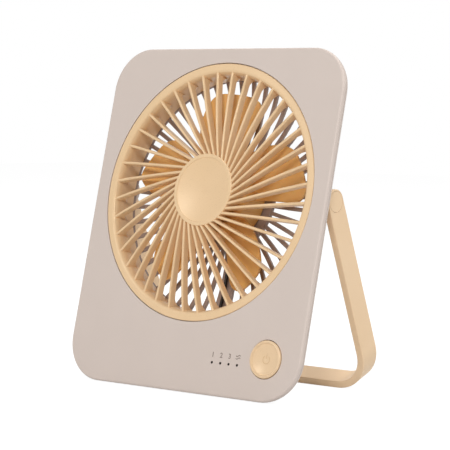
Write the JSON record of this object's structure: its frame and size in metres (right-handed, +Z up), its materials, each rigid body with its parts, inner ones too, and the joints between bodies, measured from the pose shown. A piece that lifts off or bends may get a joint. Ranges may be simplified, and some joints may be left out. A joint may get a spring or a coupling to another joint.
{
  "type": "portable camping fan",
  "caption": "Flat rechargeable table fan with a round caged rotor in a leaning rounded panel, dished power button, indicator lamps and a folding U stand.",
  "frame": {"origin": "centre of the footprint on the ground, with the stand open", "axes": "+Z up, the fan blows towards -Y, +X is the hinge line towards the button side"},
  "size_m": [0.1704, 0.0922, 0.1951],
  "materials": {
    "taupe_plastic": "fine matt moulded ABS",
    "apricot_plastic": "satin moulded ABS",
    "button_plastic": "satin moulded ABS",
    "stand_plastic": "fine matt moulded ABS",
    "guard_plastic": "satin moulded ABS",
    "blade_plastic": "translucent moulded polypropylene",
    "base_plastic": "moulded nylon",
    "dark_plastic": "moulded nylon",
    "smoked_plastic": "smoked moulded acrylic",
    "lamp_resin": "cast resin",
    "zinc_steel": "zinc plated",
    "bright_steel": "ground",
    "core_steel": "stamped",
    "magnet_ferrite": "pressed",
    "copper_wire": "enamelled winding",
    "circuit_board": "glass epoxy with solder mask",
    "lead_sleeve": "extruded",
    "cell_pouch": "laminated foil",
    "foam_tape": "foam",
    "foot_rubber": "moulded"
  },
  "bodies": {
    "housing": {"front_shell": "taupe_plastic", "rear_shell": "taupe_plastic", "rubber_feet": "foot_rubber", "shell_screws": "zinc_steel", "front_grille": "apricot_plastic", "rear_guard": "guard_plastic", "motor_base": "base_plastic", "motor_screws": "zinc_steel", "bearings": "bright_steel", "motor_stator": "core_steel", "motor_coils": "copper_wire", "motor_board": "circuit_board", "motor_lead": "lead_sleeve", "tact_switch": "dark_plastic", "main_board": "circuit_board", "board_screws": "zinc_steel", "indicator_leds": "lamp_resin", "light_guide": "smoked_plastic", "usb_socket": "bright_steel", "battery_cells": "cell_pouch", "battery_tape": "foam_tape", "battery_board": "circuit_board", "pivot_pins": "zinc_steel", "friction_washers": "dark_plastic"},
    "fan_rotor": {"impeller": "blade_plastic", "rotor_can": "core_steel", "rotor_magnet": "magnet_ferrite", "motor_shaft": "bright_steel", "shaft_clip": "bright_steel"},
    "button": {"power_button": "button_plastic", "switch_plunger": "dark_plastic"},
    "stand_frame": {"stand": "stand_plastic", "pivot_caps": "stand_plastic"}
  },
  "joints": [
    {"name": "stand_hinge", "type": "hinge", "parent": "housing", "child": "stand_frame", "pos_m": [0, -0.0031, 0.10978], "axis": [1, 0, 0], "range_deg": [-35.2, 144.7]},
    {"name": "rotor_spin", "type": "hinge", "parent": "housing", "child": "fan_rotor", "pos_m": [0, -0.00962, 0.11089], "axis": [0, -0.9724, 0.2333], "continuous": true},
    {"name": "button_press", "type": "slide", "parent": "housing", "child": "button", "axis": [0, 0.9724, -0.2333], "range_m": [0, 0.0008], "stiffness_N_per_m": 1500, "springref_m": -0.0003}
  ]
}
